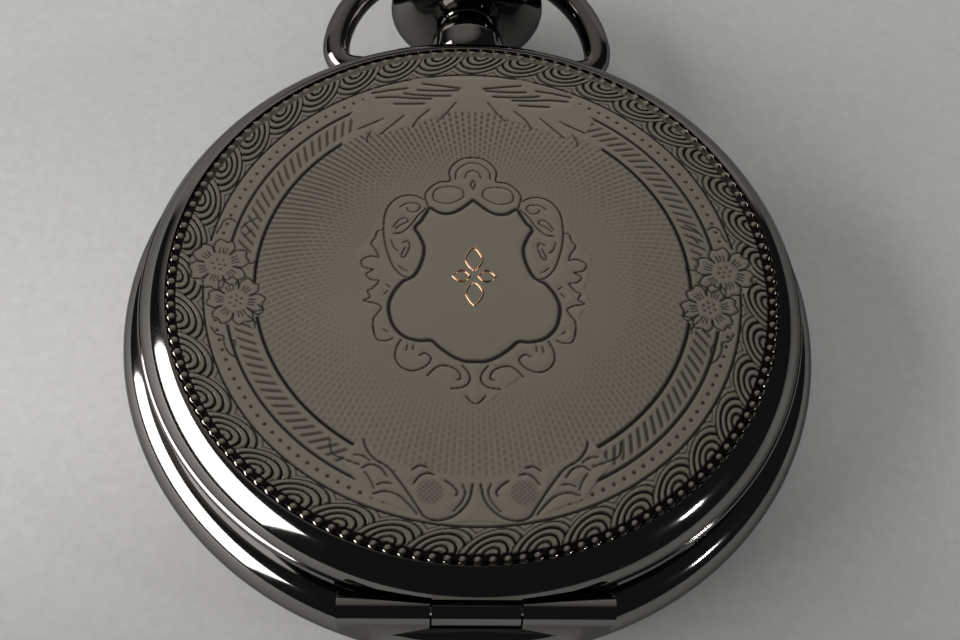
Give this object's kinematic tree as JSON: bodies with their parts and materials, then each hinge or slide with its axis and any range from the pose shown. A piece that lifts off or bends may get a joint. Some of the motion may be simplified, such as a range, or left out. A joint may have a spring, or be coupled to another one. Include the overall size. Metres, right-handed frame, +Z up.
{
  "type": "pocket watch",
  "caption": "Hunter pocket watch: round case, engraved hinged lid, crown and swinging bow; hand-wound movement, dial and hands inside.",
  "frame": {"origin": "centre of the back cover's flat face, which rests on the table", "axes": "+Z up through the dial and the lid; +Y toward twelve o'clock, the pendant and the bow; +X toward three o'clock"},
  "size_m": [0.047, 0.0597, 0.0124],
  "materials": {
    "gunmetal": "dark polished plating",
    "steel": "polished steel",
    "gilt": "gilt brass",
    "blued_steel": "blued steel",
    "crystal": "clear",
    "dial": "white enamel look",
    "jewel": "clear red synthetic ruby, drawn solid"
  },
  "bodies": {
    "case": {"case_band": "gunmetal", "back_cover": "gunmetal", "hinge_pin": "steel", "spring_screws": "steel", "pendant": "gunmetal", "pendant_sleeve": "steel", "bezel": "steel", "crystal": "crystal", "dial": "dial", "case_screws": "steel", "main_plate": "gilt", "barrel_bridge": "gilt", "train_bridge": "gilt", "balance_cock": "gilt", "pallet_bridge": "gilt", "bridge_screws": "blued_steel", "jewels": "jewel", "click_screw": "blued_steel", "click_spring": "steel", "crown_wheel_screw": "blued_steel", "setting_lever_screw": "blued_steel", "hairspring": "blued_steel", "hairspring_stud": "steel"},
    "lid": {"front_cover": "gunmetal"},
    "catch": {"lid_catch": "steel"},
    "lift": {"lift_spring": "steel"},
    "bow": {"bow": "gunmetal"},
    "winding": {"winding_pinion": "steel"},
    "crown": {"crown": "gunmetal", "winding_stem": "steel"},
    "clutch": {"clutch_wheel": "steel"},
    "lever": {"setting_lever": "steel"},
    "crown_wheel": {"crown_wheel": "steel"},
    "ratchet": {"ratchet_wheel": "steel", "barrel_arbor": "steel", "ratchet_screw": "blued_steel"},
    "click": {"click": "steel"},
    "barrel": {"barrel": "gilt", "barrel_cover": "gilt", "mainspring": "steel"},
    "centre": {"centre_wheel": "gilt", "cannon_pinion": "steel", "minute_hand": "blued_steel"},
    "third": {"third_wheel": "gilt"},
    "fourth": {"fourth_wheel": "gilt", "second_hand": "blued_steel"},
    "escape": {"escape_wheel": "gilt"},
    "minute": {"minute_wheel": "gilt"},
    "hour": {"hour_wheel": "gilt", "hour_hand": "blued_steel"},
    "setting": {"setting_wheel": "gilt"},
    "fork": {"pallet_fork": "steel"},
    "balance": {"balance_wheel": "gilt", "balance_staff": "steel"},
    "regulator": {"regulator": "steel"}
  },
  "joints": [
    {"name": "lid_hinge", "type": "hinge", "parent": "case", "child": "lid", "pos_m": [0, -0.0216, 0.0094], "axis": [1, 0, 0], "range_deg": [0, 95]},
    {"name": "bow_swing", "type": "hinge", "parent": "case", "child": "bow", "pos_m": [0, 0.0242, 0.0061], "axis": [1, 0, 0], "range_deg": [-90, 90]},
    {"name": "crown_turn", "type": "hinge", "parent": "case", "child": "winding", "pos_m": [0, 0.0164, 0.0061], "axis": [0, 1, 0], "continuous": true},
    {"name": "crown_slide", "type": "slide", "parent": "winding", "child": "crown", "axis": [0, 1, 0], "range_m": [-0.0006, 0.0007]},
    {"name": "clutch_slide", "type": "slide", "parent": "winding", "child": "clutch", "axis": [0, 1, 0], "range_m": [-0.00042, 0.00036]},
    {"name": "lever_turn", "type": "hinge", "parent": "case", "child": "lever", "pos_m": [0.0046, 0.01516, 0.005], "axis": [0, 0, -1], "range_deg": [-13, 15]},
    {"name": "crown_wheel_turn", "type": "hinge", "parent": "case", "child": "crown_wheel", "pos_m": [0, 0.01246, 0.005], "axis": [0, 0, 1], "continuous": true},
    {"name": "ratchet_turn", "type": "hinge", "parent": "case", "child": "ratchet", "pos_m": [0.00534, 0.00448, 0.005], "axis": [0, 0, 1], "continuous": true},
    {"name": "click_rock", "type": "hinge", "parent": "case", "child": "click", "pos_m": [0.01274, 0.00718, 0.005], "axis": [0, 0, -1], "range_deg": [0, 12]},
    {"name": "centre_turn", "type": "hinge", "parent": "case", "child": "centre", "pos_m": [0, 0, 0.005], "axis": [0, 0, -1], "continuous": true},
    {"name": "barrel_turn", "type": "hinge", "parent": "case", "child": "barrel", "pos_m": [0.00534, 0.00448, 0.005], "axis": [0, 0, -1], "continuous": true},
    {"name": "third_turn", "type": "hinge", "parent": "case", "child": "third", "pos_m": [0.0039, -0.00472, 0.005], "axis": [0, 0, -1], "continuous": true},
    {"name": "fourth_turn", "type": "hinge", "parent": "case", "child": "fourth", "pos_m": [0, -0.008, 0.005], "axis": [0, 0, -1], "continuous": true},
    {"name": "escape_turn", "type": "hinge", "parent": "case", "child": "escape", "pos_m": [-0.005, -0.008, 0.005], "axis": [0, 0, -1], "continuous": true},
    {"name": "minute_turn", "type": "hinge", "parent": "case", "child": "minute", "pos_m": [0, 0.00336, 0.005], "axis": [0, 0, -1], "continuous": true},
    {"name": "hour_turn", "type": "hinge", "parent": "case", "child": "hour", "pos_m": [0, 0, 0.005], "axis": [0, 0, -1], "continuous": true},
    {"name": "setting_turn", "type": "hinge", "parent": "case", "child": "setting", "pos_m": [0, 0.00882, 0.005], "axis": [0, 0, -1], "continuous": true},
    {"name": "fork_rock", "type": "hinge", "parent": "case", "child": "fork", "pos_m": [-0.0074, -0.00662, 0.005], "axis": [0, 0, -1], "range_deg": [-5, 5]},
    {"name": "balance_swing", "type": "hinge", "parent": "case", "child": "balance", "pos_m": [-0.01081, -0.00465, 0.005], "axis": [0, 0, -1], "range_deg": [-220, 220]},
    {"name": "regulator_turn", "type": "hinge", "parent": "case", "child": "regulator", "pos_m": [-0.01081, -0.00465, 0.005], "axis": [0, 0, -1], "range_deg": [-15, 15]},
    {"name": "catch_swing", "type": "hinge", "parent": "case", "child": "catch", "pos_m": [-0.01791, 0.01034, 0.005], "axis": [0, 0, -1], "range_deg": [0, 1]},
    {"name": "lift_swing", "type": "hinge", "parent": "case", "child": "lift", "pos_m": [-0.01694, -0.01186, 0.005], "axis": [0, 0, -1], "range_deg": [0, 1.2]}
  ],
  "couplings": [
    {"joint": "clutch_slide", "follows": "crown_slide", "ratio": -0.6},
    {"joint": "lever_turn", "follows": "crown_slide", "rad_per_m": 370.37},
    {"joint": "crown_wheel_turn", "follows": "crown_turn", "ratio": 0.55556},
    {"joint": "ratchet_turn", "follows": "crown_turn", "ratio": -0.33333},
    {"joint": "barrel_turn", "follows": "centre_turn", "ratio": -0.13889},
    {"joint": "third_turn", "follows": "centre_turn", "ratio": -8},
    {"joint": "fourth_turn", "follows": "centre_turn", "ratio": 60},
    {"joint": "escape_turn", "follows": "centre_turn", "ratio": -600},
    {"joint": "minute_turn", "follows": "centre_turn", "ratio": -0.33333},
    {"joint": "hour_turn", "follows": "centre_turn", "ratio": 0.083333},
    {"joint": "setting_turn", "follows": "centre_turn", "ratio": 0.28571},
    {"joint": "lift_swing", "follows": "lid_hinge", "ratio": 0.012632}
  ]
}
